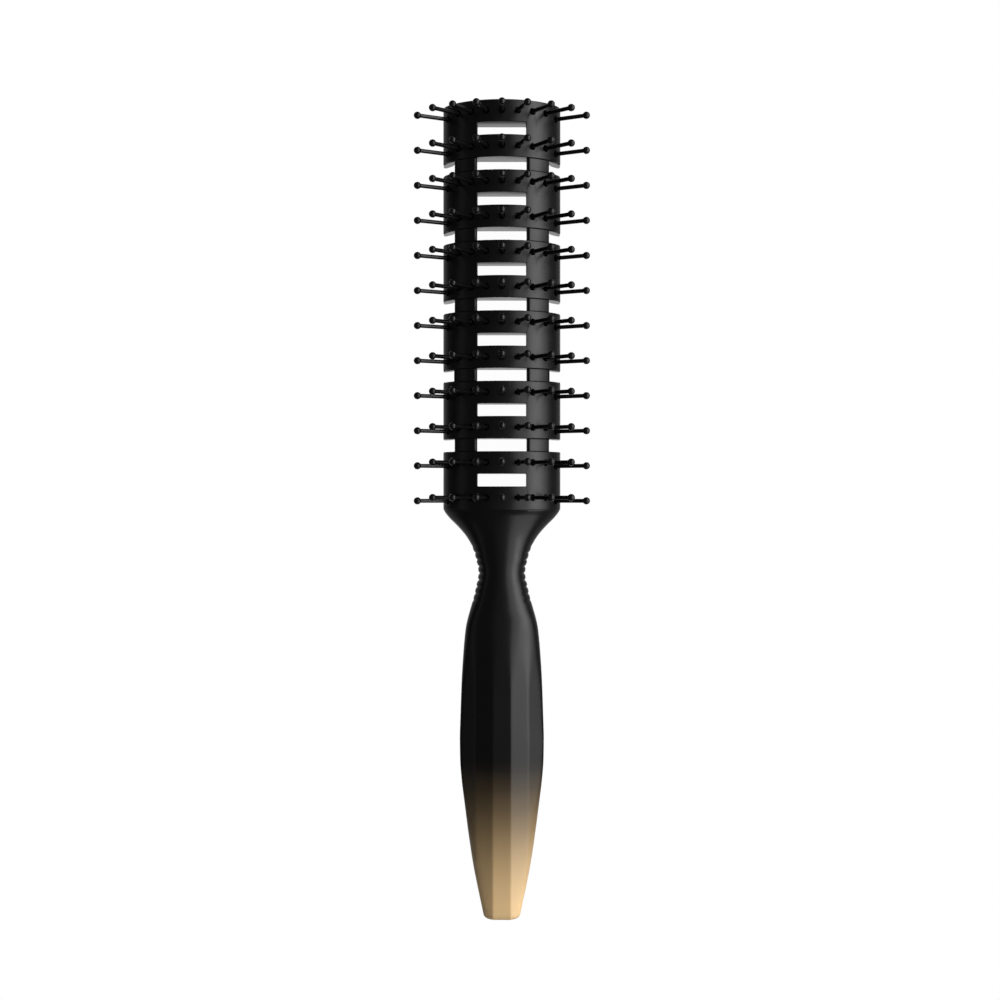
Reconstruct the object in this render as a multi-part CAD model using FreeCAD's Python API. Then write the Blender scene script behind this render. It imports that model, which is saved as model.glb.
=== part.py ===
import FreeCAD, Part
import math
import os

from FreeCAD import Vector

# Vent brush lying on its back, pins up, in millimetres.
# X runs across the head, Y from the handle's end to the head's end, Z up.
# The table is Z = 0, and the origin is the middle of the brush's footprint.

# Whole brush
overall_length = 220.0

# Head section: a crown arc, rounded shoulders and upright sides over an open tunnel.
# The arcs are drawn in flats half a pin step wide, within 0.04 mm, so that each pin stands in a flat.
crown_height = 16.9
crown_radius = 17.6
shoulder_radius = 8.5
head_half_width = 15.95
side_foot_bevel = 0.6
shoulder_low_height = 4.0
tunnel_radius = 13.6
tunnel_roof_height = 8.9
wing_bevel_height = 2.6
wing_foot_width = 0.45
head_end_bevel = 0.7

# Rows of pins, and the vents between them
row_count = 12
row_pitch = 9.36
rows_per_segment = 2
first_row_inset = 2.9
last_row_margin = 3.3
vent_height = 3.4
vent_half_width = 6.5
gap_front_half_width = 7.3
gap_back_half_width = 6.6
rail_outer_half_width = 12.7
rail_recess = 0.45

# Pins, which all point away from one centre line at the level of the table
pins_per_row = 9
pin_step_angle = 14.5
pin_reach = 9.7
pin_shaft_diameter = 1.1
pin_ball_diameter = 2.0
pin_top_flat_diameter = 0.9
pin_hole_diameter = 1.9
pin_seat_depth = 1.5
outer_pin_setback = 0.86
pin_sides = 6

# Funnel and neck
funnel_inset = 0.35
funnel_overlap = 1.5
funnel_back_squareness = 4.5
neck_radius = 6.58
neck_axis_height = 7.7
neck_middle_below_head = 16.5
neck_straight = 5.0
scoop_depth = 4.0
scoop_round = 3.0

# Grip grooves on both sides of the neck
groove_count = 9
groove_pitch = 1.93
first_groove_below_head = 12.2
groove_depth = 0.36
groove_wrap_angle = 40.0
groove_width = 0.8

# Handle: a squarish rod planed down to long flat facets
handle_half_width = 11.31
handle_half_thickness = 6.57
handle_back_clearance = 0.03
handle_rod_half_depth = 10.0
handle_rod_squareness = 7.0
handle_end_half_width = 4.75
handle_end_top = 9.8
handle_end_round = 1.3
facet_inner_edge = 2.43
facet_outer_edge = 7.1
facet_side_edge = 13.0
facet_outer_drop = 2.15
facet_side_drop = 7.75
facet_start_rise = 0.6

# Sections of the rod, closer where it bends: distances below the head, then shares of the grip's length
points_per_section = 20
funnel_sections = [0.0, 1.2, 2.4, 3.7, 5.2, 7.0, 9.0, 11.0]
grip_sections = [0.02, 0.05, 0.1, 0.17, 0.27, 0.4, 0.52, 0.64, 0.77, 0.89]
cut_margin = 1.0
flatness = 1e-6

head_end_y = overall_length / 2
handle_end_y = -overall_length / 2
first_row_y = head_end_y - first_row_inset
last_row_y = first_row_y - (row_count - 1) * row_pitch
head_base_y = last_row_y - last_row_margin
handle_length = head_base_y - handle_end_y
crown_centre_z = crown_height - crown_radius
pin_root_radius = crown_height - pin_seat_depth
pin_ball_circle_radius = crown_height + pin_reach
handle_axis_height = handle_half_thickness + handle_back_clearance
groove_zone_length = groove_count * groove_pitch
grip_start = first_groove_below_head + groove_zone_length


def down_grip(share):
    """Distance below the head, for a share of the grip between the grooves and the handle's end."""
    return grip_start + share * (handle_length - grip_start)


# Guide lines of the rod that runs from the head to the handle's end.
# Each is a list of (distance below the head, value), joined by a smooth curve.
funnel_half_width = head_half_width - funnel_inset
neck_start = neck_middle_below_head - neck_straight / 2
neck_finish = neck_middle_below_head + neck_straight / 2
side_line = [
    (-funnel_overlap, funnel_half_width),
    (0.0, funnel_half_width - 0.08),
    (1.2, funnel_half_width - 0.55),
    (2.4, funnel_half_width - 1.65),
    (5.0, 11.35),
    (8.0, 9.05),
    (11.0, 7.45),
    (neck_start, neck_radius),
    (neck_finish, neck_radius),
    (24.3, 7.65),
    (grip_start, 9.3),
    (down_grip(0.08), 10.2),
    (down_grip(0.23), 10.85),
    (down_grip(0.41), handle_half_width),
    (down_grip(0.61), 10.15),
    (down_grip(0.81), 7.9),
    (handle_length - handle_end_round, handle_end_half_width),
    (handle_length, handle_end_half_width - handle_end_round),
]
front_line = [
    (-funnel_overlap, crown_height - funnel_inset),
    (3.0, crown_height - 0.75),
    (neck_start, neck_axis_height + neck_radius),
    (neck_finish, neck_axis_height + neck_radius),
    (27.0, neck_axis_height + neck_radius + 0.15),
    (down_grip(0.08), handle_axis_height + handle_rod_half_depth - 1.2),
    (down_grip(0.2), handle_axis_height + handle_rod_half_depth),
    (handle_length, handle_axis_height + handle_rod_half_depth),
]
back_line = [
    (-funnel_overlap, funnel_inset),
    (5.0, funnel_inset + 0.15),
    (neck_start, neck_axis_height - neck_radius),
    (neck_finish, neck_axis_height - neck_radius),
    (27.0, neck_axis_height - neck_radius - 0.15),
    (down_grip(0.08), handle_axis_height - handle_rod_half_depth + 1.2),
    (down_grip(0.2), handle_axis_height - handle_rod_half_depth),
    (handle_length, handle_axis_height - handle_rod_half_depth),
]
widest_height_line = [
    (-funnel_overlap, 3.5),
    (1.0, 3.6),
    (neck_start, neck_axis_height),
    (neck_finish, neck_axis_height),
    (down_grip(0.13), handle_axis_height),
    (handle_length, handle_axis_height),
]
# The power of each section's curve: 2 is an ellipse, and more is squarer
front_squareness_line = [
    (-funnel_overlap, 2.0),
    (neck_finish, 2.0),
    (down_grip(0.1), handle_rod_squareness),
    (handle_length, handle_rod_squareness),
]
back_squareness_line = [
    (-funnel_overlap, funnel_back_squareness),
    (1.0, funnel_back_squareness),
    (neck_start, 2.0),
    (neck_finish, 2.0),
    (down_grip(0.1), handle_rod_squareness),
    (handle_length, handle_rod_squareness),
]


class Guide:
    """Smooth line through a few (distance, value) points, which never swings past them."""

    def __init__(self, points):
        self.points = points
        rises = [(after[1] - before[1]) / (after[0] - before[0]) for before, after in zip(points, points[1:])]
        self.slopes = [rises[0]]
        for before, after in zip(rises, rises[1:]):
            self.slopes.append(2 * before * after / (before + after) if before * after > 0 else 0.0)
        self.slopes.append(rises[-1])

    def at(self, distance):
        index = 0
        while index < len(self.points) - 2 and distance > self.points[index + 1][0]:
            index += 1
        start, start_value = self.points[index]
        end, end_value = self.points[index + 1]
        span = end - start
        t = (distance - start) / span
        from_start = (1 + 2 * t) * (1 - t) ** 2 * start_value + t * (1 - t) ** 2 * span * self.slopes[index]
        from_end = t ** 2 * (3 - 2 * t) * end_value + t ** 2 * (t - 1) * span * self.slopes[index + 1]
        return from_start + from_end


half_width_guide = Guide(side_line)
front_guide = Guide(front_line)
back_guide = Guide(back_line)
widest_guide = Guide(widest_height_line)
front_squareness_guide = Guide(front_squareness_line)
back_squareness_guide = Guide(back_squareness_line)


def extrude_along_y(wire, y_from, y_to):
    face = Part.Face(wire)
    face.translate(Vector(0, y_from, 0))
    return face.extrude(Vector(0, y_to - y_from, 0))


def box_between(x_from, x_to, y_from, y_to, z_from, z_to):
    return Part.makeBox(x_to - x_from, y_to - y_from, z_to - z_from, Vector(x_from, y_from, z_from))


def mirrored_profile(right_edges):
    """Close a profile from its right half, given from the crown down to the centre line."""
    left_edges = [edge.mirror(Vector(0, 0, 0), Vector(1, 0, 0)) for edge in right_edges]
    return Part.Wire(Part.__sortEdges__(right_edges + left_edges))


def ray_to_circle(angle, centre_x, centre_z, radius):
    """Point where a ray from the pins' centre line, at an angle from upright, leaves a circle."""
    across = math.sin(angle)
    up = math.cos(angle)
    towards = centre_x * across + centre_z * up
    reach = towards + math.sqrt(towards ** 2 - centre_x ** 2 - centre_z ** 2 + radius ** 2)
    return Vector(reach * across, 0, reach * up)


def head_corners(inset):
    """Corners of the head's outer section, moved inwards by inset."""
    crown = crown_radius - inset
    shoulder = shoulder_radius - inset
    half_width = head_half_width - inset
    shoulder_x = half_width - shoulder
    shoulder_z = crown_centre_z + math.sqrt((crown - shoulder) ** 2 - shoulder_x ** 2)
    right = []
    flat_angle = math.radians(pin_step_angle / 2)
    for index in range(pins_per_row + 1):
        angle = (index + 0.5) * flat_angle
        corner = ray_to_circle(angle, 0, crown_centre_z, crown)
        if corner.x * (shoulder_z - crown_centre_z) > shoulder_x * (corner.z - crown_centre_z):
            corner = ray_to_circle(angle, shoulder_x, shoulder_z, shoulder)
        right.append(corner)
    right.append(Vector(half_width, 0, shoulder_low_height))
    right.append(Vector(half_width, 0, inset + side_foot_bevel))
    right.append(Vector(half_width - side_foot_bevel, 0, inset))
    return right + [Vector(-corner.x, 0, corner.z) for corner in reversed(right)]


def head_profile(inset):
    corners = head_corners(inset)
    return Part.makePolygon(corners + [corners[0]])


def tunnel_profile():
    """Hollow behind the pins: a flat roof, a round wall and bevelled wing tips."""
    foot_x = head_half_width - side_foot_bevel - wing_foot_width
    bevel_x = math.sqrt(tunnel_radius ** 2 - wing_bevel_height ** 2)
    roof_x = math.sqrt(tunnel_radius ** 2 - tunnel_roof_height ** 2)
    below_x = foot_x + (foot_x - bevel_x) * cut_margin / wing_bevel_height
    bevel_angle = math.asin(wing_bevel_height / tunnel_radius)
    roof_angle = math.asin(tunnel_roof_height / tunnel_radius)
    middle_angle = (bevel_angle + roof_angle) / 2
    wall_middle = Vector(tunnel_radius * math.cos(middle_angle), 0, tunnel_radius * math.sin(middle_angle))
    roof_corner = Vector(roof_x, 0, tunnel_roof_height)
    bevel_top = Vector(bevel_x, 0, wing_bevel_height)
    bevel_low = Vector(below_x, 0, -cut_margin)
    return mirrored_profile([
        Part.LineSegment(Vector(0, 0, tunnel_roof_height), roof_corner).toShape(),
        Part.Arc(roof_corner, wall_middle, bevel_top).toShape(),
        Part.LineSegment(bevel_top, bevel_low).toShape(),
        Part.LineSegment(bevel_low, Vector(0, 0, -cut_margin)).toShape(),
    ])


def gap_profile():
    """Drafted opening between the rails."""
    low = tunnel_roof_height - cut_margin
    high = crown_height + cut_margin
    slope = (gap_front_half_width - gap_back_half_width) / (crown_height - tunnel_roof_height)
    low_x = gap_back_half_width - slope * cut_margin
    high_x = gap_front_half_width + slope * cut_margin
    right = [Vector(low_x, 0, low), Vector(high_x, 0, high)]
    corners = right + [Vector(-point.x, 0, point.z) for point in reversed(right)]
    return Part.makePolygon(corners + [corners[0]])


def make_head():
    """Plain half tunnel with a bevelled outer end, before the vents are cut."""
    stations = [(head_base_y, 0.0), (head_end_y - head_end_bevel, 0.0), (head_end_y, head_end_bevel)]
    rings = [[corner + Vector(0, y, 0) for corner in head_corners(inset)] for y, inset in stations]
    return solid_through_rings(rings)


def make_tunnel():
    """Room behind the pins, with a rounded inner end sunk into the funnel."""
    inner_end = head_base_y - scoop_depth
    outer_end = head_end_y + cut_margin
    tunnel = extrude_along_y(tunnel_profile(), inner_end, outer_end)
    corner = Vector(0, inner_end + scoop_round, tunnel_roof_height - scoop_round)
    arc_start = Vector(0, inner_end, corner.z)
    arc_middle = corner + Vector(0, -scoop_round * math.sqrt(0.5), scoop_round * math.sqrt(0.5))
    arc_end = Vector(0, corner.y, tunnel_roof_height)
    roof_end = Vector(0, outer_end, tunnel_roof_height)
    foot_end = Vector(0, outer_end, -cut_margin)
    foot_start = Vector(0, inner_end, -cut_margin)
    outline = Part.Wire([
        Part.Arc(arc_start, arc_middle, arc_end).toShape(),
        Part.LineSegment(arc_end, roof_end).toShape(),
        Part.LineSegment(roof_end, foot_end).toShape(),
        Part.LineSegment(foot_end, foot_start).toShape(),
        Part.LineSegment(foot_start, arc_start).toShape(),
    ])
    side_view = Part.Face(outline)
    side_view.translate(Vector(-head_half_width, 0, 0))
    return tunnel.common(side_view.extrude(Vector(2 * head_half_width, 0, 0)))


def vent_cutters():
    """Slots inside the segments, and gaps with side notches between them."""
    far = head_half_width + cut_margin
    top = crown_height + cut_margin
    skin = extrude_along_y(head_profile(-cut_margin), 0, vent_height)
    skin = skin.cut(extrude_along_y(head_profile(rail_recess), -cut_margin, vent_height + cut_margin))
    cutters = []
    for row in range(1, row_count):
        low = first_row_y - (row - 0.5) * row_pitch - vent_height / 2
        high = low + vent_height
        if row % rows_per_segment:
            cutters.append(box_between(-vent_half_width, vent_half_width, low, high, 0, top))
            continue
        cutters.append(extrude_along_y(gap_profile(), low, high))
        cutters.append(skin.translated(Vector(0, low, 0)))
        cutters.append(box_between(rail_outer_half_width, far, low, high, -cut_margin, top))
        cutters.append(box_between(-far, -rail_outer_half_width, low, high, -cut_margin, top))
    return cutters


def oval_section(below_head, groove=0.0):
    """Section of the rod, between an ellipse and a rounded oblong."""
    half_width = half_width_guide.at(below_head)
    middle = widest_guide.at(below_head)
    fade_from = math.cos(math.radians(groove_wrap_angle))
    points = []
    for step in range(points_per_section):
        angle = 2 * math.pi * (step + 0.5) / points_per_section
        across = math.cos(angle)
        up = math.sin(angle)
        if up >= 0:
            power = front_squareness_guide.at(below_head)
            height = front_guide.at(below_head) - middle
        else:
            power = back_squareness_guide.at(below_head)
            height = middle - back_guide.at(below_head)
        sunk = 1 - groove * max(0.0, abs(across) - fade_from) / (1 - fade_from) / half_width
        x = half_width * sunk * math.copysign(abs(across) ** (2 / power), across)
        z = middle + height * sunk * math.copysign(abs(up) ** (2 / power), up)
        points.append(Vector(x, head_base_y - below_head, z))
    return points


def grooved_sections():
    """Rings of the neck: a groove's edge, its floor and its other edge, for each groove."""
    rings = []
    for index in range(groove_count):
        floor = first_groove_below_head + index * groove_pitch
        depth = groove_depth * math.sqrt(math.sin(math.pi * (index + 1) / (groove_count + 1)))
        rings.append(oval_section(floor - groove_width / 2))
        rings.append(oval_section(floor, depth))
        rings.append(oval_section(floor + groove_width / 2))
    return rings


def make_rod():
    """Funnel, grooved neck and the round stock of the handle."""
    rings = [oval_section(below_head) for below_head in [-funnel_overlap] + funnel_sections]
    rings += grooved_sections()
    rings += [oval_section(down_grip(share)) for share in grip_sections]
    rings.append(oval_section(handle_length - handle_end_round))
    rings.append(oval_section(handle_length))
    return solid_through_rings(rings)


def facet_section(below_head, top):
    """Polygon whose corners keep their place across the handle, so that its facets run straight."""
    y = head_base_y - below_head
    bottom = handle_back_clearance
    corners = [
        (facet_inner_edge, 0.0),
        (facet_outer_edge, facet_outer_drop),
        (facet_side_edge, facet_side_drop),
    ]
    front = [Vector(x, y, top - drop) for x, drop in corners]
    back = [Vector(x, y, bottom + drop) for x, drop in reversed(corners)]
    right = front + back
    left = [Vector(-point.x, point.y, point.z) for point in reversed(right)]
    return right + left


def is_flat(corners):
    normal = (corners[1] - corners[0]).cross(corners[2] - corners[0]).normalize()
    return abs((corners[3] - corners[0]).dot(normal)) < flatness


def faces_between(lower, upper):
    """Faces that join two rings: a flat one for each pair of sides, or two triangles where it would twist."""
    faces = []
    count = len(lower)
    for index, corner in enumerate(lower):
        after = (index + 1) % count
        if is_flat([corner, lower[after], upper[after], upper[index]]):
            outlines = [[corner, lower[after], upper[after], upper[index]]]
        elif corner.x + lower[after].x > 0:
            outlines = [[corner, lower[after], upper[after]], [corner, upper[after], upper[index]]]
        else:
            outlines = [[corner, lower[after], upper[index]], [lower[after], upper[after], upper[index]]]
        faces += [Part.Face(Part.makePolygon(outline + [outline[0]])) for outline in outlines]
    return faces


def solid_through_rings(rings):
    """Closed solid of flat faces through a stack of like polygons."""
    faces = [Part.Face(Part.makePolygon(ring + [ring[0]])) for ring in (rings[0], rings[-1])]
    for lower, upper in zip(rings, rings[1:]):
        faces += faces_between(lower, upper)
    solid = Part.Solid(Part.Shell(faces))
    if solid.Volume < 0:
        solid.reverse()
    return solid


def make_facets():
    """Block with the handle's long flats, which the rod is planed down to."""
    neck_top = neck_axis_height + neck_radius + facet_start_rise
    start = facet_section(neck_middle_below_head, neck_top)
    end = facet_section(handle_length + cut_margin, handle_end_top)
    return solid_through_rings([start, end])


def pin_places():
    """Foot and direction of each pin, row by row."""
    outermost = (pins_per_row - 1) / 2
    rows = []
    for row in range(row_count):
        places = []
        for index in range(pins_per_row):
            step = index - outermost
            angle = math.radians(step * pin_step_angle)
            setback = outer_pin_setback if abs(step) == outermost else 0.0
            direction = Vector(math.sin(angle), 0, math.cos(angle))
            row_centre = Vector(0, first_row_y - row * row_pitch - setback, 0)
            places.append((row_centre + direction * pin_root_radius, direction))
        rows.append(places)
    return rows


def ring_across_pin(foot, direction, height, radius):
    """Regular polygon with the area of a circle, square to a pin at one height."""
    beside = direction.cross(Vector(0, 1, 0))
    step = 2 * math.pi / pin_sides
    corner_radius = radius * math.sqrt(step / math.sin(step))
    centre = foot + direction * height
    corners = []
    for corner in range(pin_sides):
        along_brush = Vector(0, corner_radius * math.sin(corner * step), 0)
        corners.append(centre + along_brush + beside * (corner_radius * math.cos(corner * step)))
    return corners


def make_pin(foot, direction):
    """Plain shaft with a rounded tip, few-sided because there are so many."""
    shaft = pin_shaft_diameter / 2
    ball = pin_ball_diameter / 2
    ball_centre = pin_ball_circle_radius - pin_root_radius
    profile = [
        (0, shaft),
        (ball_centre - math.sqrt(ball ** 2 - shaft ** 2), shaft),
        (ball_centre, ball),
        (ball_centre + ball, pin_top_flat_diameter / 2),
    ]
    rings = [ring_across_pin(foot, direction, height, radius) for height, radius in profile]
    return solid_through_rings(rings)


def make_hole(foot, direction):
    depth = max(crown_height, crown_radius) + cut_margin - pin_root_radius
    rings = [ring_across_pin(foot, direction, height, pin_hole_diameter / 2) for height in (0, depth)]
    return solid_through_rings(rings)


def make_body():
    """Head, funnel, neck and handle, moulded as one piece."""
    across = head_half_width + cut_margin
    neck_middle_y = head_base_y - neck_middle_below_head
    unplaned = box_between(-across, across, neck_middle_y, head_end_y, -cut_margin, crown_height + cut_margin)
    body = make_rod().common(make_facets().fuse(unplaned))
    body = body.fuse(make_head())
    body = body.cut(make_tunnel())
    body = body.cut(vent_cutters())
    return body.cut([make_hole(foot, direction) for places in pin_places() for foot, direction in places])


os.makedirs("parts", exist_ok=True)
body = make_body()
print("body", body.isValid(), "solids", len(body.Solids), "volume", round(body.Volume))
body.Solids[0].exportStep("parts/brush_body.step")
for number, places in enumerate(pin_places(), start=1):
    pins = [make_pin(foot, direction) for foot, direction in places]
    Part.makeCompound(pins).exportStep(f"parts/pin_row_{number:02d}.step")
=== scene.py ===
import bmesh
import bpy
import math
from mathutils import Matrix, Vector


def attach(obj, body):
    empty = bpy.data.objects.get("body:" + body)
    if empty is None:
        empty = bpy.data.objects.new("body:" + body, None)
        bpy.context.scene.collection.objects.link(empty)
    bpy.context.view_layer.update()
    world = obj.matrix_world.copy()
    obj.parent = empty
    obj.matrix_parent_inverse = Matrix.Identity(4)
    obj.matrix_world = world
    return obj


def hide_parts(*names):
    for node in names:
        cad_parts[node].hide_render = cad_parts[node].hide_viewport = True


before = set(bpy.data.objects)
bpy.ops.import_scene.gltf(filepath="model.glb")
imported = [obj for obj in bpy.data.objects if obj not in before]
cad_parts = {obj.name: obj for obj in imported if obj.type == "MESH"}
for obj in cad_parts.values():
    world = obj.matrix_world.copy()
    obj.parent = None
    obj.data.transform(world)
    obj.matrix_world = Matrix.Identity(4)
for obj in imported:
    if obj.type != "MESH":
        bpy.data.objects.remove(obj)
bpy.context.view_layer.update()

# The pieces are modelled in millimetres, in the frame's axes, and brought to metres at the end.
metresPerMillimetre = 0.001
creaseAngle = math.radians(32)
quarter = math.pi / 2

brush = {
    "halfLength": 110.0,
    "headHalfWidth": 15.95,
    "headBaseY": 0.84,
    "crownHeight": 16.9,
    "crownRadius": 17.6,
    "shoulderRadius": 8.5,
    "rowCount": 12,
    "rowPitch": 9.36,
    "firstRowY": 107.1,
    "pinsPerRow": 9,
    "pinStepAngle": 14.5,
    "outerPinSetback": 0.86,
    "pinRootRadius": 15.4,
    "pinTipCircle": 26.6,
}


# Small helpers that every piece uses

def newObject(name, bm):
    bmesh.ops.recalc_face_normals(bm, faces=bm.faces)
    mesh = bpy.data.meshes.new(name)
    bm.to_mesh(mesh)
    bm.free()
    obj = bpy.data.objects.new(name, mesh)
    bpy.context.scene.collection.objects.link(obj)
    return obj


def applyModifiers(obj):
    graph = bpy.context.evaluated_depsgraph_get()
    mesh = bpy.data.meshes.new_from_object(obj.evaluated_get(graph), depsgraph=graph)
    obj.modifiers.clear()
    worn = obj.data
    obj.data = mesh
    bpy.data.meshes.remove(worn)


def boolean(obj, other, operation, solver="EXACT"):
    modifier = obj.modifiers.new("boolean", "BOOLEAN")
    modifier.operation = operation
    modifier.solver = solver
    modifier.object = other
    applyModifiers(obj)
    bpy.data.objects.remove(other, do_unlink=True)


def addPrism(bm, corners, shift):
    face = bm.faces.new([bm.verts.new(corner) for corner in corners])
    grown = bmesh.ops.extrude_face_region(bm, geom=[face], use_keep_orig=True)
    moved = [item for item in grown["geom"] if isinstance(item, bmesh.types.BMVert)]
    bmesh.ops.translate(bm, verts=moved, vec=shift)


def addBox(bm, low, high):
    size = Vector(high) - Vector(low)
    place = Matrix.Translation((Vector(high) + Vector(low)) / 2) @ Matrix.Diagonal((*size, 1))
    bmesh.ops.create_cube(bm, size=1, matrix=place)


def angles(start, end, steps):
    # angles from start to end, both included
    return [start + (end - start) * step / steps for step in range(steps + 1)]


def rowY(row):
    return brush["firstRowY"] - row * brush["rowPitch"]


def pinPlaces(row):
    # matrix of each pin of a row: its foot at the origin, its shaft along Z
    outermost = (brush["pinsPerRow"] - 1) / 2
    for index in range(brush["pinsPerRow"]):
        step = index - outermost
        setback = brush["outerPinSetback"] if abs(step) == outermost else 0.0
        lean = Matrix.Rotation(math.radians(step * brush["pinStepAngle"]), 4, "Y")
        rise = Matrix.Translation((0, 0, brush["pinRootRadius"]))
        yield Matrix.Translation((0, rowY(row) - setback, 0)) @ lean @ rise


# Head: crown, vents, rails and wings

head = {
    "footRound": 0.3,
    "footInnerHalfWidth": 15.1,
    "tunnelRadius": 13.6,
    "roofHeight": 8.9,
    "wingBevelHeight": 2.6,
    "ventHeight": 3.4,
    "ventHalfWidth": 6.5,
    "gapFrontHalfWidth": 7.3,
    "gapEdgeRound": 1.2,
    "railOuterHalfWidth": 12.7,
    "railRecess": 0.45,
    "railCutHeight": 6.0,
    "edgeRound": 0.22,
    "holeRadius": 0.95,
    "holeLength": 5.0,
    "scoopDepth": 4.0,
    "scoopRound": 3.0,
    "clearance": 2.0,    # how far a cutter reaches past what it cuts
    "crownSteps": 30,
    "shoulderSteps": 14,
    "footSteps": 4,
    "tunnelSteps": 12,
    "scoopSteps": 10,
    "gapEdgeSteps": 8,
    "holeSides": 20,
    "edgeSegments": 3,
}


def headOutline(inset):
    # right half of the outer section, from the crown down to the foot
    crown = brush["crownRadius"] - inset
    shoulder = brush["shoulderRadius"] - inset
    halfWidth = brush["headHalfWidth"] - inset
    centreZ = brush["crownHeight"] - brush["crownRadius"]
    shoulderX = halfWidth - shoulder
    shoulderZ = centreZ + math.sqrt((crown - shoulder) ** 2 - shoulderX ** 2)
    lean = math.atan2(shoulderX, shoulderZ - centreZ)
    foot = head["footRound"]
    points = []
    for step in range(head["crownSteps"]):
        angle = lean * (step + 0.5) / head["crownSteps"]
        points.append((crown * math.sin(angle), centreZ + crown * math.cos(angle)))
    for angle in angles(lean, quarter, head["shoulderSteps"]):
        points.append((shoulderX + shoulder * math.sin(angle), shoulderZ + shoulder * math.cos(angle)))
    for angle in angles(0, quarter, head["footSteps"]):
        points.append((halfWidth - foot + foot * math.cos(angle), inset + foot - foot * math.sin(angle)))
    return points


def tunnelOutline():
    # right half of the room's section, which reaches above the roof that trims it
    footX = head["footInnerHalfWidth"]
    low = math.asin(head["wingBevelHeight"] / head["tunnelRadius"])
    high = math.asin((head["roofHeight"] + head["clearance"]) / head["tunnelRadius"])
    points = []
    for angle in angles(high, low, head["tunnelSteps"]):
        points.append((head["tunnelRadius"] * math.cos(angle), head["tunnelRadius"] * math.sin(angle)))
    slope = (footX - points[-1][0]) / head["wingBevelHeight"]
    points.append((footX + slope * head["clearance"], -head["clearance"]))
    return points


def bothSides(rightHalf, y):
    right = [Vector((x, y, z)) for x, z in rightHalf]
    return right + [Vector((-corner.x, y, corner.z)) for corner in reversed(right)]


def makeTunnel(allowance=0.0):
    # room behind the pins: its section all along, trimmed to a side view that is rounded at the inner end
    clearance = head["clearance"]
    scoop = head["scoopRound"]
    inner = brush["headBaseY"] - head["scoopDepth"]
    outer = brush["halfLength"] + clearance
    outline = [(x + allowance, z) for x, z in tunnelOutline()]
    bm = bmesh.new()
    addPrism(bm, bothSides(outline, inner - clearance), Vector((0, outer - inner + clearance, 0)))
    tunnel = newObject("tunnel", bm)
    across = brush["headHalfWidth"] + clearance
    roof = head["roofHeight"] + allowance
    centre = Vector((-across, inner + scoop, roof - scoop))
    corners = []
    for angle in angles(0, quarter, head["scoopSteps"]):
        corners.append(centre + Vector((0, -math.cos(angle), math.sin(angle))) * scoop)
    corners.append(Vector((-across, outer + clearance, roof)))
    corners.append(Vector((-across, outer + clearance, -2 * clearance)))
    corners.append(Vector((-across, inner, -2 * clearance)))
    bm = bmesh.new()
    addPrism(bm, corners, Vector((2 * across, 0, 0)))
    boolean(tunnel, newObject("sideView", bm), "INTERSECT")
    return tunnel


def ventRanges():
    # (number, low, high) along Y of each opening between two rows
    for row in range(1, brush["rowCount"]):
        middle = (rowY(row) + rowY(row - 1)) / 2
        yield row, middle - head["ventHeight"] / 2, middle + head["ventHeight"] / 2


def gapOutline(top):
    # right half of the opening between two segments: an upright wall whose front edge is rounded
    edgeRound = head["gapEdgeRound"]
    frontX = head["gapFrontHalfWidth"]
    skin = brush["crownRadius"] - head["railRecess"]
    lean = math.asin(frontX / skin)
    skinZ = brush["crownHeight"] - brush["crownRadius"] + skin * math.cos(lean)
    centreX = frontX + edgeRound * math.sin(lean)
    centreZ = skinZ - edgeRound * math.cos(lean)
    points = [(frontX, top)]
    for angle in angles(lean, quarter, head["gapEdgeSteps"]):
        points.append((centreX - edgeRound * math.sin(angle), centreZ + edgeRound * math.cos(angle)))
    points.append((points[-1][0], head["roofHeight"] - head["clearance"]))
    return points


def makeVents():
    # slots inside the segments, and openings with side notches between them
    bm = bmesh.new()
    top = brush["crownHeight"] + head["clearance"]
    bottom = -head["clearance"]
    far = brush["headHalfWidth"] + head["clearance"]
    half = head["ventHalfWidth"]
    notch = head["railOuterHalfWidth"]
    gap = gapOutline(top)
    for number, low, high in ventRanges():
        if number % 2:
            addBox(bm, (-half, low, 0), (half, high, top))
        else:
            addPrism(bm, bothSides(gap, low), Vector((0, high - low, 0)))
            addBox(bm, (notch, low, bottom), (far, high, top))
            addBox(bm, (-far, low, bottom), (-notch, high, top))
    return newObject("vents", bm)


def makeRailCut():
    # what is taken off the rails, so that they lie a little below the bands
    bm = bmesh.new()
    above = head["railCutHeight"]
    outer = [point for point in headOutline(-head["clearance"]) if point[1] > above]
    inner = [point for point in headOutline(head["railRecess"]) if point[1] > above]
    for _, low, high in list(ventRanges())[1::2]:
        for side in (1, -1):
            corners = [Vector((side * x, low, z)) for x, z in outer + inner[::-1]]
            addPrism(bm, corners, Vector((0, high - low, 0)))
    return newObject("railCut", bm)


def makeHoles():
    # a round cutter on each pin's foot
    bm = bmesh.new()
    radius = head["holeRadius"]
    length = head["holeLength"]
    sides = head["holeSides"]
    middle = Matrix.Translation((0, 0, length / 2))
    for row in range(brush["rowCount"]):
        for place in pinPlaces(row):
            bmesh.ops.create_cone(bm, cap_ends=True, segments=sides, radius1=radius, radius2=radius,
                                  depth=length, matrix=place @ middle)
    return newObject("holes", bm)


def roundEdges(obj):
    modifier = obj.modifiers.new("edges", "BEVEL")
    modifier.width = head["edgeRound"]
    modifier.segments = head["edgeSegments"]
    modifier.limit_method = "ANGLE"
    modifier.angle_limit = creaseAngle
    modifier.use_clamp_overlap = False
    modifier.miter_outer = "MITER_ARC"
    applyModifiers(obj)


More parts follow.
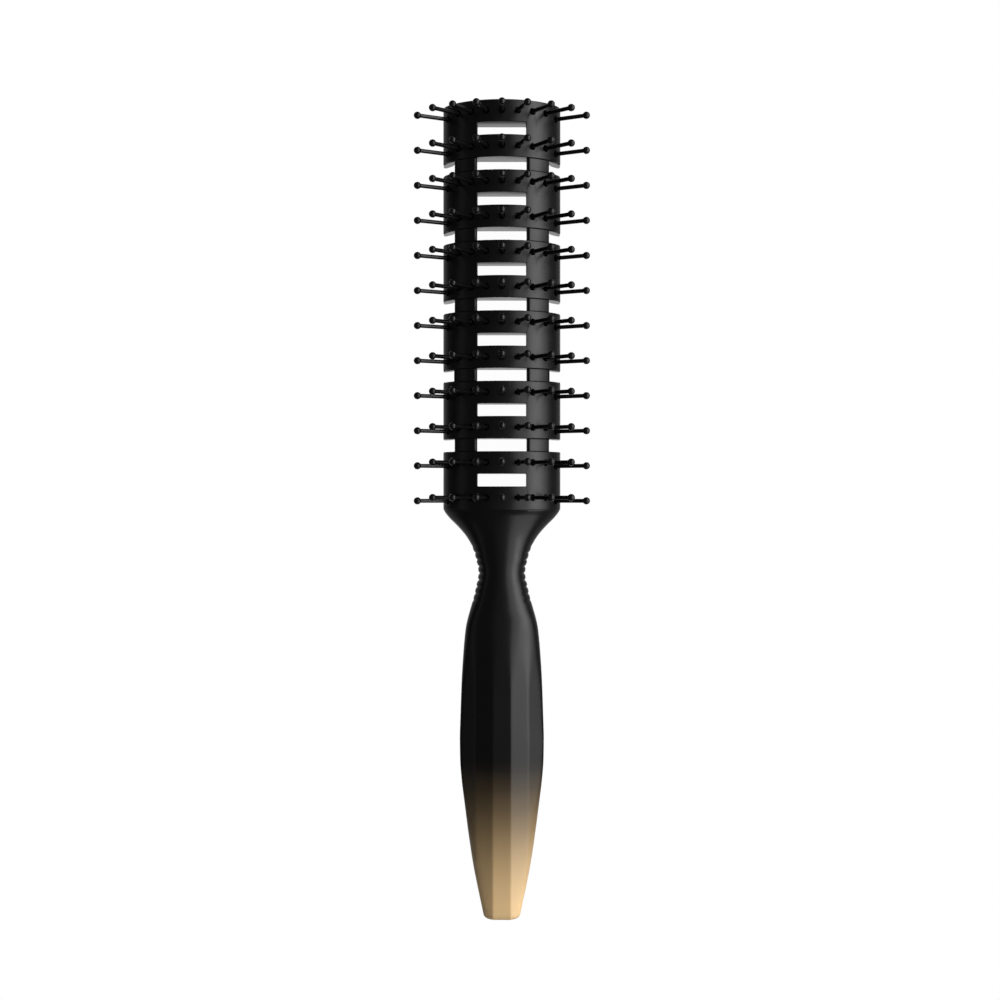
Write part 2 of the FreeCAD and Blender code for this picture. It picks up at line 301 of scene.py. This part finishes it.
def makeHead():
    # a plain bar with everything cut out of it, then its edges rounded
    bm = bmesh.new()
    start = brush["headBaseY"]
    addPrism(bm, bothSides(headOutline(0), start), Vector((0, brush["halfLength"] - start, 0)))
    piece = newObject("head", bm)
    boolean(piece, makeTunnel(), "DIFFERENCE")
    boolean(piece, makeVents(), "DIFFERENCE")
    boolean(piece, makeRailCut(), "DIFFERENCE")
    print("head cut", len(piece.data.polygons))
    roundEdges(piece)
    print("head rounded", len(piece.data.polygons))
    return piece


# Rod: funnel, grooved neck and facetted handle, as one skin round a line of guide values

rod = {
    "overlap": 1.5,
    "allowance": 0.03,      # how far the rod keeps inside the head's skin where they overlap
    "morphLength": 10.0,
    "neckRadius": 6.58,
    "neckHeight": 7.7,
    "neckMiddle": 16.5,
    "neckStraight": 5.0,
    "gripStart": 29.57,
    "handleHalfThickness": 6.57,
    "backClearance": 0.03,
    "stockHalfDepth": 10.0,
    "endTop": 9.8,
    "endRound": 1.3,
    "endMiddleHeight": 5.0,
    "facetInnerEdge": 2.43,
    "facetOuterEdge": 7.1,
    "facetSideEdge": 13.0,
    "facetOuterDrop": 2.15,
    "facetSideDrop": 7.55,
    "facetStartRise": 0.6,
    "facetLeastFacing": 0.05,
    "startLift": 0.55,
    "startLiftLength": 22.0,
    "grooves": 9,
    "groovePitch": 1.83,
    "firstGroove": 9.8,
    "grooveDepth": 0.33,
    "grooveWrap": 40.0,
    "grooveWidth": 0.34,
    "columns": 192,
    "endSteps": 6,
}
rodLength = brush["headBaseY"] + brush["halfLength"]
gripStart = rod["gripStart"]
neckStart = rod["neckMiddle"] - rod["neckStraight"] / 2
neckFinish = rod["neckMiddle"] + rod["neckStraight"] / 2
neckFront = rod["neckHeight"] + rod["neckRadius"]
neckBack = rod["neckHeight"] - rod["neckRadius"]
axisHeight = rod["handleHalfThickness"] + rod["backClearance"]
stockFront = axisHeight + rod["stockHalfDepth"]
stockBack = axisHeight - rod["stockHalfDepth"]


def downGrip(share):
    # distance below the head, for a share of the grip between the grooves and the handle's end
    return gripStart + share * (rodLength - gripStart)


# What guides the rod's sections: (distance below the head, value)
guides = {
    "halfWidth": [
        (-rod["overlap"], brush["headHalfWidth"] - 0.03),
        (0.0, brush["headHalfWidth"] - 0.1),
        (0.8, 15.42),
        (2.4, 14.12),
        (4.0, 12.5),
        (5.6, 11.0),
        (7.2, 9.68),
        (8.9, 8.6),
        (10.5, 7.87),
        (12.1, 7.3),
        (13.8, 6.9),
        (15.4, 6.5),
        (17.0, 6.36),
        (18.6, 6.5),
        (20.2, 6.88),
        (23.5, 7.6),
        (26.7, 8.5),
        (gripStart, 9.3),
        (31.6, 9.74),
        (34.8, 10.12),
        (38.1, 10.4),
        (46.2, 10.9),
        (57.0, 11.28),
        (62.5, 11.42),
        (67.9, 11.33),
        (73.3, 10.92),
        (downGrip(0.61), 10.22),
        (downGrip(0.81), 7.97),
        (rodLength, 4.8),
    ],
    "front": [
        (-rod["overlap"], brush["crownHeight"] - 0.03),
        (-0.05, brush["crownHeight"] - 0.05),
        (0.05, brush["crownHeight"] - 0.1),
        (0.7, brush["crownHeight"] - 0.62),
        (1.6, brush["crownHeight"] - 1.2),
        (4.0, brush["crownHeight"] - 1.9),
        (8.0, brush["crownHeight"] - 2.35),
        (neckStart, neckFront),
        (neckFinish, neckFront),
        (27.0, neckFront + 0.15),
        (downGrip(0.08), stockFront - 1.2),
        (downGrip(0.2), stockFront),
        (rodLength, stockFront),
    ],
    "back": [
        (-rod["overlap"], 0.35),
        (5.0, 0.5),
        (neckStart, neckBack),
        (neckFinish, neckBack),
        (27.0, neckBack - 0.15),
        (downGrip(0.08), stockBack + 1.2),
        (downGrip(0.2), stockBack),
        (rodLength, stockBack),
    ],
    "widestHeight": [
        (-rod["overlap"], 3.5),
        (1.0, 3.6),
        (neckStart, rod["neckHeight"]),
        (neckFinish, rod["neckHeight"]),
        (downGrip(0.13), axisHeight),
        (rodLength, axisHeight),
    ],
    # 2 is an oval, and more is squarer
    "frontSquareness": [
        (-rod["overlap"], 2.0),
        (26.0, 2.0),
        (downGrip(0.14), 7.0),
        (rodLength, 7.0),
    ],
    "backSquareness": [
        (-rod["overlap"], 4.5),
        (1.0, 4.5),
        (neckStart, 2.0),
        (neckFinish, 2.0),
        (downGrip(0.1), 7.0),
        (rodLength, 7.0),
    ],
    # how softly the flats meet: they grow out of the round neck and are crisp further down
    "flatSoftness": [
        (-rod["overlap"], 0.05),
        (neckFinish, 0.05),
        (gripStart, 0.4),
        (downGrip(0.25), 0.05),
        (rodLength, 0.05),
    ],
    "sideSoftness": [
        (-rod["overlap"], 0.22),
        (neckFinish, 0.22),
        (gripStart, 0.8),
        (downGrip(0.3), 0.22),
        (downGrip(0.5), 0.22),
        (downGrip(0.8), 0.85),
        (rodLength, 0.85),
    ],
}
# How far apart the rod's sections are: (up to this distance below the head, spacing)
spacings = [(10.5, 0.5), (29.5, 0.16), (50.0, 0.5), (rodLength - 2.4, 1.0)]


def guide(name, distance):
    # smooth value on a guide's line of points, which never swings past them
    line = guides[name]
    rises = [(b[1] - a[1]) / (b[0] - a[0]) for a, b in zip(line, line[1:])]
    slopes = [rises[0]]
    for a, b in zip(rises, rises[1:]):
        slopes.append(2 * a * b / (a + b) if a * b > 0 else 0.0)
    slopes.append(rises[-1])
    index = 0
    while index < len(line) - 2 and distance > line[index + 1][0]:
        index += 1
    start, startValue = line[index]
    end, endValue = line[index + 1]
    span = end - start
    t = (distance - start) / span
    fromStart = (1 + 2 * t) * (1 - t) ** 2 * startValue + t * (1 - t) ** 2 * span * slopes[index]
    fromEnd = t ** 2 * (3 - 2 * t) * endValue + t ** 2 * (t - 1) * span * slopes[index + 1]
    return fromStart + fromEnd


def smoothstep(share):
    share = min(max(share, 0.0), 1.0)
    return share * share * (3 - 2 * share)


def facetPlanes(below):
    # (point, outward normal) in the section's plane for each flat of the handle
    share = (below - rod["neckMiddle"]) / (rodLength - rod["neckMiddle"])
    top = neckFront + rod["facetStartRise"]
    top += (rod["endTop"] - top) * share
    top += rod["startLift"] * (1 - smoothstep((below - rod["neckMiddle"]) / rod["startLiftLength"]))
    bottom = rod["backClearance"]
    inner = (rod["facetInnerEdge"], 0.0)
    outer = (rod["facetOuterEdge"], rod["facetOuterDrop"])
    side = (rod["facetSideEdge"], rod["facetSideDrop"])
    planes = [((0, top), (0, 1)), ((0, bottom), (0, -1))]
    for (x, drop), (farX, farDrop) in ((inner, outer), (outer, side)):
        length = math.hypot(farX - x, farDrop - drop)
        across = (farDrop - drop) / length
        up = (farX - x) / length
        for sign in (1, -1):
            planes.append(((sign * x, top - drop), (sign * across, up)))
            planes.append(((sign * x, bottom + drop), (sign * across, -up)))
    return planes


def grooveAt(below):
    # how deep the grip's grooves are here, shallower towards both ends of the grip
    deepest = 0.0
    for index in range(rod["grooves"]):
        floor = rod["firstGroove"] + index * rod["groovePitch"]
        depth = rod["grooveDepth"] * math.sqrt(math.sin(math.pi * (index + 1) / (rod["grooves"] + 1)))
        deepest = max(deepest, depth * math.exp(-((below - floor) / rod["grooveWidth"]) ** 2))
    return deepest


def softMin(values, softness):
    # the smallest value, with a round passage where two are nearly equal
    nearest = min(values)
    return nearest - softness * math.log(sum(math.exp((nearest - value) / softness) for value in values))


def headReach(across, up, middle):
    # how far a line from the head's middle goes before it leaves the outer section, or None below its foot
    outline = [(0.0, brush["crownHeight"])] + headOutline(0)
    for (x, z), (nextX, nextZ) in zip(outline, outline[1:]):
        before = across * (z - middle) - up * x
        after = across * (nextZ - middle) - up * nextX
        if before >= 0 > after:
            share = before / (before - after)
            hit = (x + (nextX - x) * share, z + (nextZ - z) * share - middle)
            return math.hypot(*hit) / math.hypot(across, up)
    return None


def flatReaches(planes, middle, across, up):
    # how far a line from the middle goes before it meets each flat that faces it
    reaches = []
    for (x, z), (nx, nz) in planes:
        facing = nx * across + nz * up
        if facing > rod["facetLeastFacing"]:
            reaches.append((nx * x + nz * (z - middle)) / facing)
    return reaches


def rodSection(below):
    # one ring of the rod: the head's own section that turns oval, softly limited by the handle's flats
    halfWidth = guide("halfWidth", below)
    middle = guide("widestHeight", below)
    front = guide("front", below) - middle
    back = middle - guide("back", below)
    frontPower = guide("frontSquareness", below)
    backPower = guide("backSquareness", below)
    flatSoftness = guide("flatSoftness", below)
    sideSoftness = guide("sideSoftness", below)
    planes = facetPlanes(below) if below > rod["neckMiddle"] else []
    morph = smoothstep(below / rod["morphLength"])
    wide = halfWidth / brush["headHalfWidth"]
    high = front / (brush["crownHeight"] - middle)
    rays = []
    for column in range(rod["columns"]):
        angle = 2 * math.pi * (column + 0.5) / rod["columns"]
        across = math.cos(angle)
        up = math.sin(angle)
        power, depth = (frontPower, front) if up >= 0 else (backPower, back)
        reach = (abs(across / halfWidth) ** power + abs(up / depth) ** power) ** (-1 / power)
        like = headReach(abs(across) / wide, up / high, middle) if morph < 1 else None
        if like is not None:
            reach = like + (reach - like) * morph
        if planes:
            flats = softMin(flatReaches(planes, middle, across, up), flatSoftness)
            reach = softMin([reach, flats], sideSoftness)
        rays.append((across, up, reach))
    widest = max(across * reach for across, up, reach in rays)
    groove = grooveAt(below)
    fadeFrom = math.cos(math.radians(rod["grooveWrap"]))
    inset = rod["allowance"] * (1 - smoothstep(below / rod["overlap"]))
    ring = []
    for across, up, reach in rays:
        reach -= inset + groove * max(0.0, (abs(across) - fadeFrom) / (1 - fadeFrom))
        x = reach * across * halfWidth / widest
        ring.append(Vector((x, brush["headBaseY"] - below, middle + reach * up)))
    return ring


def rodStations():
    # distances below the head of the rod's sections
    stations = [-rod["overlap"]]
    for until, spacing in spacings:
        while stations[-1] < until:
            stations.append(stations[-1] + spacing)
    return [station for station in stations if station < rodLength - rod["endRound"]]


def growRing(bm, ring):
    # extrudes a closed ring of verts, and gives the new ring in the same order
    edges = [bm.edges.get(pair) for pair in zip(ring, ring[1:] + ring[:1])]
    grown = bmesh.ops.extrude_edge_only(bm, edges=edges)["geom"]
    fresh = {item for item in grown if isinstance(item, bmesh.types.BMVert)}
    after = []
    for vert in ring:
        neighbours = [edge.other_vert(vert) for edge in vert.link_edges]
        after.append(next(other for other in neighbours if other in fresh))
    return after


def roundedEnd():
    # rings that turn the handle's end over into its flat end face
    rings = []
    for angle in angles(0, quarter, rod["endSteps"]):
        shrink = rod["endRound"] * (1 - math.cos(angle))
        y = -brush["halfLength"] + rod["endRound"] * (1 - math.sin(angle))
        ring = []
        for point in rodSection(brush["headBaseY"] - y):
            outward = Vector((point.x, 0, point.z - rod["endMiddleHeight"]))
            ring.append(point - outward.normalized() * shrink)
        rings.append(ring)
    return rings


def makeRod():
    # each ring is extruded from the one before
    bm = bmesh.new()
    rings = [rodSection(station) for station in rodStations()] + roundedEnd()
    ring = list(bmesh.ops.create_circle(bm, cap_ends=True, segments=rod["columns"], radius=1)["verts"])
    for vert, place in zip(ring, rings[0]):
        vert.co = place
    for places in rings[1:]:
        ring = growRing(bm, ring)
        for vert, place in zip(ring, places):
            vert.co = place
    bm.faces.new(ring)
    return newObject("rod", bm)


def makeBody():
    # head and rod overlap, and each has the tunnel cut before they are joined
    piece = makeHead()
    stock = makeRod()
    boolean(stock, makeTunnel(rod["allowance"]), "DIFFERENCE")
    boolean(piece, stock, "UNION", "MANIFOLD")
    boolean(piece, makeHoles(), "DIFFERENCE", "MANIFOLD")
    return piece


# Pins: a round shaft with a ball on its tip, all alike

pin = {
    "shaftRadius": 0.55,
    "footRadius": 0.6,
    "footTaper": 0.3,    # share of the height in which the foot narrows to the shaft
    "ballRadius": 1.0,
    "ballSteps": 8,
    "sides": 14,
    "mergeDistance": 1e-5,
}


def pinProfile():
    # from the middle of the foot, up the shaft and over the ball
    radius = pin["ballRadius"]
    ballHeight = brush["pinTipCircle"] - brush["pinRootRadius"]
    ballStart = math.pi - math.asin(pin["shaftRadius"] / radius)
    points = [(0, 0), (pin["footRadius"], 0), (pin["shaftRadius"], ballHeight * pin["footTaper"])]
    for angle in angles(ballStart, 0, pin["ballSteps"]):
        points.append((radius * math.sin(angle), ballHeight + radius * math.cos(angle)))
    return points


def makePin(bm):
    verts = [bm.verts.new((radius, 0, height)) for radius, height in pinProfile()]
    edges = [bm.edges.new(pair) for pair in zip(verts, verts[1:])]
    bmesh.ops.spin(bm, geom=verts + edges, cent=(0, 0, 0), axis=(0, 0, 1), angle=2 * math.pi,
                   steps=pin["sides"], use_merge=True)
    bmesh.ops.remove_doubles(bm, verts=bm.verts, dist=pin["mergeDistance"])


def makePinRow(row):
    # one mesh with all the pins of a row
    bm = bmesh.new()
    for place in pinPlaces(row):
        single = bmesh.new()
        makePin(single)
        bmesh.ops.transform(single, matrix=place, verts=single.verts)
        mesh = bpy.data.meshes.new("pin")
        single.to_mesh(mesh)
        single.free()
        bm.from_mesh(mesh)
        bpy.data.meshes.remove(mesh)
    return newObject(f"pinRow{row + 1:02d}", bm)


# Materials

class Num:
    # a value socket that takes part in Python arithmetic, one Math node for each operation
    def __init__(self, paint, socket):
        self.paint = paint
        self.socket = socket

    def math(self, operation, *others):
        values = {index: other for index, other in enumerate((self,) + others)}
        return self.paint.num("ShaderNodeMath", {"operation": operation}, values)

    def __add__(self, other):
        return self.math("ADD", other)

    def __sub__(self, other):
        return self.math("SUBTRACT", other)

    def __mul__(self, other):
        return self.math("MULTIPLY", other)

    def __truediv__(self, other):
        return self.math("DIVIDE", other)

    def __rsub__(self, other):
        return (self * -1) + other

    __radd__ = __add__
    __rmul__ = __mul__


class Paint:
    # one node material, built node by node
    def __init__(self, name):
        self.material = bpy.data.materials.new(name)
        self.material.use_nodes = True
        self.tree = self.material.node_tree
        self.tree.nodes.clear()
        self.place = self.node("ShaderNodeTexCoord").outputs["Object"]

    def node(self, kind, settings=None, values=None):
        made = self.tree.nodes.new(kind)
        for name, setting in (settings or {}).items():
            if name == "stops":
                self.setStops(made.color_ramp, setting)
            else:
                setattr(made, name, setting)
        for key, value in (values or {}).items():
            value = value.socket if isinstance(value, Num) else value
            if isinstance(value, bpy.types.NodeSocket):
                self.tree.links.new(value, made.inputs[key])
            else:
                made.inputs[key].default_value = value
        return made

    def setStops(self, ramp, stops):
        while len(ramp.elements) < len(stops):
            ramp.elements.new(1.0)
        for element, (position, colour) in zip(ramp.elements, stops):
            element.position = position
            element.color = (*colour, 1.0)

    def num(self, kind, settings=None, values=None, output=0):
        return Num(self, self.node(kind, settings, values).outputs[output])

    def noise(self, scale, detail, roughness):
        values = {"Vector": self.place, "Scale": scale, "Detail": detail, "Roughness": roughness}
        return self.num("ShaderNodeTexNoise", {}, values)

    def mix(self, factor, first, second):
        # between two colours: inputs 6 and 7 and output 2 are the Mix node's colour sockets
        values = {"Factor": factor, 6: (*first, 1.0), 7: (*second, 1.0)}
        return self.node("ShaderNodeMix", {"data_type": "RGBA"}, values).outputs[2]

    def surface(self, values):
        shader = self.node("ShaderNodeBsdfPrincipled", {}, values)
        self.node("ShaderNodeOutputMaterial", {}, {"Surface": shader.outputs[0]})
        return self.material

    def bump(self, height, strength, distance):
        values = {"Height": height, "Strength": strength, "Distance": distance}
        return self.node("ShaderNodeBump", {}, values).outputs[0]


def linear(red, green, blue):
    # a colour as it looks on the screen, 0 to 255, as the shader needs it
    def one(level):
        share = level / 255
        return share / 12.92 if share <= 0.04045 else ((share + 0.055) / 1.055) ** 2.4
    return (one(red), one(green), one(blue))


bodyFinish = {
    "black": (10, 10, 10),
    "gold": (229, 194, 143),
    "fadeStart": -66.5,
    "fadeEnd": -106.0,
    "fadeUnevenness": 0.02,
    # how much of the light is gold's, along the fade
    "fade": [
        (0.0, 0.0),
        (0.066, 0.01),
        (0.2, 0.065),
        (0.34, 0.165),
        (0.475, 0.31),
        (0.61, 0.51),
        (0.75, 0.72),
        (0.885, 0.895),
        (1.0, 1.0),
    ],
    "roughness": 0.3,
    "cloudScale": 120.0,
    "cloudRoughness": 0.08,
    "grainScale": 2600.0,
    "grainRoughness": 0.05,
    "grainStrength": 0.12,
    "grainHeight": 0.00002,
    "ior": 1.5,
}


def between(first, last, share):
    return [start + (end - start) * share for start, end in zip(first, last)]


def makeBodyPlastic():
    finish = bodyFinish
    paint = Paint("satinBodyPlastic")
    along = paint.num("ShaderNodeSeparateXYZ", {}, {"Vector": paint.place}, output=1)
    cloud = paint.noise(finish["cloudScale"], 4.0, 0.6)
    grain = paint.noise(finish["grainScale"], 2.0, 0.6)
    start = finish["fadeStart"] * metresPerMillimetre
    length = (finish["fadeStart"] - finish["fadeEnd"]) * metresPerMillimetre
    share = (start - along) / length + (cloud - 0.5) * finish["fadeUnevenness"]
    black = linear(*finish["black"])
    gold = linear(*finish["gold"])
    stops = [(place, between(black, gold, amount)) for place, amount in finish["fade"]]
    colour = paint.node("ShaderNodeValToRGB", {"stops": stops}, {"Fac": share}).outputs[0]
    rough = finish["roughness"] + (cloud - 0.5) * finish["cloudRoughness"]
    rough += (grain - 0.5) * finish["grainRoughness"]
    normal = paint.bump(grain, finish["grainStrength"], finish["grainHeight"])
    return paint.surface({"Base Color": colour, "Roughness": rough, "Normal": normal, "IOR": finish["ior"]})


pinFinish = {
    "black": (10, 10, 11),
    "grey": (17, 17, 18),
    "roughness": 0.17,
    "cloudScale": 400.0,
    "cloudRoughness": 0.1,
    "grainScale": 3000.0,
    "grainStrength": 0.05,
    "grainHeight": 0.00001,
    "ior": 1.5,
}


def makePinPlastic():
    finish = pinFinish
    paint = Paint("glossPinPlastic")
    cloud = paint.noise(finish["cloudScale"], 3.0, 0.5)
    grain = paint.noise(finish["grainScale"], 2.0, 0.5)
    colour = paint.mix(cloud, linear(*finish["black"]), linear(*finish["grey"]))
    rough = finish["roughness"] + (cloud - 0.5) * finish["cloudRoughness"]
    normal = paint.bump(grain, finish["grainStrength"], finish["grainHeight"])
    return paint.surface({"Base Color": colour, "Roughness": rough, "Normal": normal, "IOR": finish["ior"]})


def dress(obj, material):
    # brings a finished piece to metres, shades it and gives it its material
    obj.data.transform(Matrix.Scale(metresPerMillimetre, 4))
    bm = bmesh.new()
    bm.from_mesh(obj.data)
    for face in bm.faces:
        face.smooth = True
    for edge in bm.edges:
        edge.smooth = edge.calc_face_angle(0.0) < creaseAngle
    bm.to_mesh(obj.data)
    bm.free()
    obj.data.materials.clear()
    obj.data.materials.append(material)
    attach(obj, "root")


body = makeBody()
body.name = "brushBody"
dress(body, makeBodyPlastic())
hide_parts("brush_body")
print("body", len(body.data.polygons), "faces")

pinPlastic = makePinPlastic()
for row in range(brush["rowCount"]):
    pins = makePinRow(row)
    dress(pins, pinPlastic)
    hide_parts(f"pin_row_{row + 1:02d}")
print("pins")


# Floor, lights and camera

studio = {
    "cameraX": -0.5,
    "cameraY": 3.5,
    "cameraHeight": 466.5,
    "lens": 60.98,
    "sensorWidth": 36.0,
    "clipStart": 0.01,
    "floorSize": 3.0,
    "floorGrey": 0.8,
    "shadeReach": 0.03,       # how near the brush the floor's shade begins
    "shadeFull": 0.25,        # openness from which the floor is white
    "shadeWhite": 0.97,       # what the deepest shade leaves of the white
    "shadeSamples": 16,
    # how bright the floor looks in a reflection: seen straight on, from the side, and at all angles
    "glowStraight": 0.78,
    "glowSideways": 0.2,
    "glowAlways": 0.02,
    "straightFade": (0.02, 0.12),
    "sidewaysFade": (0.45, 0.7),
    "roomGrey": 0.06,
}
white = (1.0, 1.0, 1.0)
unlit = (0.0, 0.0, 0.0)

# Area lamps in metres and watts, each aimed at a point
softboxes = {
    "rightSoftbox": {"place": (0.682, 0.0, 0.46), "aim": (0, 0, 0), "size": (2.4, 1.07), "power": 9.7},
    "rightCore": {"place": (0.621, 0.5, 0.323), "aim": (0, 0.5, 0), "size": (1.4, 0.285), "power": 2.7},
    "rightFill": {"place": (0.9, 0.0, 0.75), "aim": (0, 0, 0), "size": (1.4, 0.8), "power": 5.0},
    "leftStrip": {"place": (-0.8, 0.0, 0.2), "aim": (0, 0, 0.02), "size": (1.2, 0.15), "power": 0.1},
    "topGlow": {"place": (0.12, -0.1, 1.3), "aim": (0, 0, 0), "size": (1.2, 0.8), "power": 0.18},
    "topFill": {"place": (0.1, 0.0, 1.2), "aim": (0, 0, 0), "size": (1.2, 1.2), "power": 1.0},
}
unseenInGloss = ("rightFill", "topFill")


def ramp(paint, value, span, first, last):
    # smoothly from the first value to the last, over a span of the input
    ends = {"Value": value, "From Min": span[0], "From Max": span[1], "To Min": first, "To Max": last}
    return paint.num("ShaderNodeMapRange", {"interpolation_type": "SMOOTHSTEP"}, ends)


def makeFloor():
    # white to the camera but for the shade round the brush, and dimmer in reflections
    paint = Paint("whiteFloor")
    bm = bmesh.new()
    bmesh.ops.create_grid(bm, x_segments=1, y_segments=1, size=studio["floorSize"] / 2)
    floor = newObject("floor", bm)
    rays = paint.node("ShaderNodeLightPath")
    camera = Num(paint, rays.outputs["Is Camera Ray"])
    glossy = Num(paint, rays.outputs["Is Glossy Ray"])
    nearness = {"Distance": studio["shadeReach"]}
    samples = {"samples": studio["shadeSamples"]}
    openness = paint.num("ShaderNodeAmbientOcclusion", samples, nearness, output=1)
    shade = ramp(paint, openness, (0.0, studio["shadeFull"]), studio["shadeWhite"], 1.0)
    steep = paint.num("ShaderNodeLayerWeight", {}, {"Blend": 0.5}, output=1)
    straight = ramp(paint, steep, studio["straightFade"], 1.0, 0.0)
    sideways = ramp(paint, steep, studio["sidewaysFade"], 1.0, 0.0)
    reflected = straight * studio["glowStraight"] + sideways * studio["glowSideways"] + studio["glowAlways"]
    colour = paint.mix(camera * shade + glossy * reflected, unlit, white)
    glow = paint.node("ShaderNodeEmission", {}, {"Color": colour, "Strength": 1.0})
    grey = studio["floorGrey"]
    plain = paint.node("ShaderNodeBsdfDiffuse", {}, {"Color": (grey, grey, grey, 1.0)})
    shaders = {0: camera + glossy, 1: plain.outputs[0], 2: glow.outputs[0]}
    both = paint.node("ShaderNodeMixShader", {}, shaders)
    paint.node("ShaderNodeOutputMaterial", {}, {"Surface": both.outputs[0]})
    floor.data.materials.append(paint.material)


def makeWorld():
    # white to the camera, and a dim grey room otherwise
    world = bpy.data.worlds.new("studio")
    bpy.context.scene.world = world
    world.use_nodes = True
    tree = world.node_tree
    tree.nodes.clear()
    rays = tree.nodes.new("ShaderNodeLightPath")
    mix = tree.nodes.new("ShaderNodeMix")
    mix.data_type = "RGBA"
    mix.inputs[6].default_value = (studio["roomGrey"], studio["roomGrey"], studio["roomGrey"], 1.0)
    mix.inputs[7].default_value = (*white, 1.0)
    glow = tree.nodes.new("ShaderNodeBackground")
    out = tree.nodes.new("ShaderNodeOutputWorld")
    tree.links.new(rays.outputs["Is Camera Ray"], mix.inputs["Factor"])
    tree.links.new(mix.outputs[2], glow.inputs["Color"])
    tree.links.new(glow.outputs[0], out.inputs["Surface"])


def makeCamera():
    # straight above the brush, looking down
    camera = bpy.data.cameras.new("camera")
    camera.lens = studio["lens"]
    camera.sensor_width = studio["sensorWidth"]
    camera.clip_start = studio["clipStart"]
    obj = bpy.data.objects.new("camera", camera)
    place = Vector((studio["cameraX"], studio["cameraY"], studio["cameraHeight"]))
    obj.location = place * metresPerMillimetre
    bpy.context.scene.collection.objects.link(obj)
    bpy.context.scene.camera = obj


def addSoftbox(name, box):
    lamp = bpy.data.lights.new(name, "AREA")
    lamp.shape = "RECTANGLE"
    lamp.size, lamp.size_y = box["size"]
    lamp.energy = box["power"]
    obj = bpy.data.objects.new(name, lamp)
    facing = (Vector(box["aim"]) - Vector(box["place"])).to_track_quat("-Z", "Y")
    obj.matrix_world = Matrix.Translation(box["place"]) @ facing.to_matrix().to_4x4()
    obj.visible_glossy = name not in unseenInGloss
    bpy.context.scene.collection.objects.link(obj)


makeFloor()
makeWorld()
makeCamera()
for name, box in softboxes.items():
    addSoftbox(name, box)
bpy.context.scene.view_settings.view_transform = "Standard"
print("stage")
